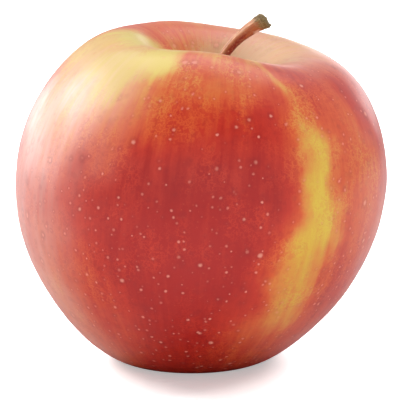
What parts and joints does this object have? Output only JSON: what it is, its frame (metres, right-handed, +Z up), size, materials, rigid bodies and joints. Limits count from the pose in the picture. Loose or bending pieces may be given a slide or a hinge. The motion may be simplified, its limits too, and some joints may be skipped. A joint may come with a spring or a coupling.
{
  "type": "apple",
  "caption": "Whole two-coloured eating apple with a curved woody stalk, standing on its eye end.",
  "frame": {"origin": "on the resting plane, under the middle of the object's box", "axes": "+Z up from the eye end to the stalk end, -Y towards the side that shows the yellow streak, +X to that side's right"},
  "size_m": [0.08, 0.08, 0.0757],
  "materials": {
    "skin": "waxy, softly glossy red skin over yellow, with pale lenticels",
    "stem_wood": "dry brown bark",
    "dried_sepal": "dry, matt brown",
    "dried_stamen": "dry, matt dark brown"
  },
  "bodies": {
    "root": {"fruit": "skin", "stem": "stem_wood", "sepal_1": "dried_sepal", "sepal_2": "dried_sepal", "sepal_3": "dried_sepal", "sepal_4": "dried_sepal", "sepal_5": "dried_sepal", "stamens": "dried_stamen"}
  },
  "joints": []
}
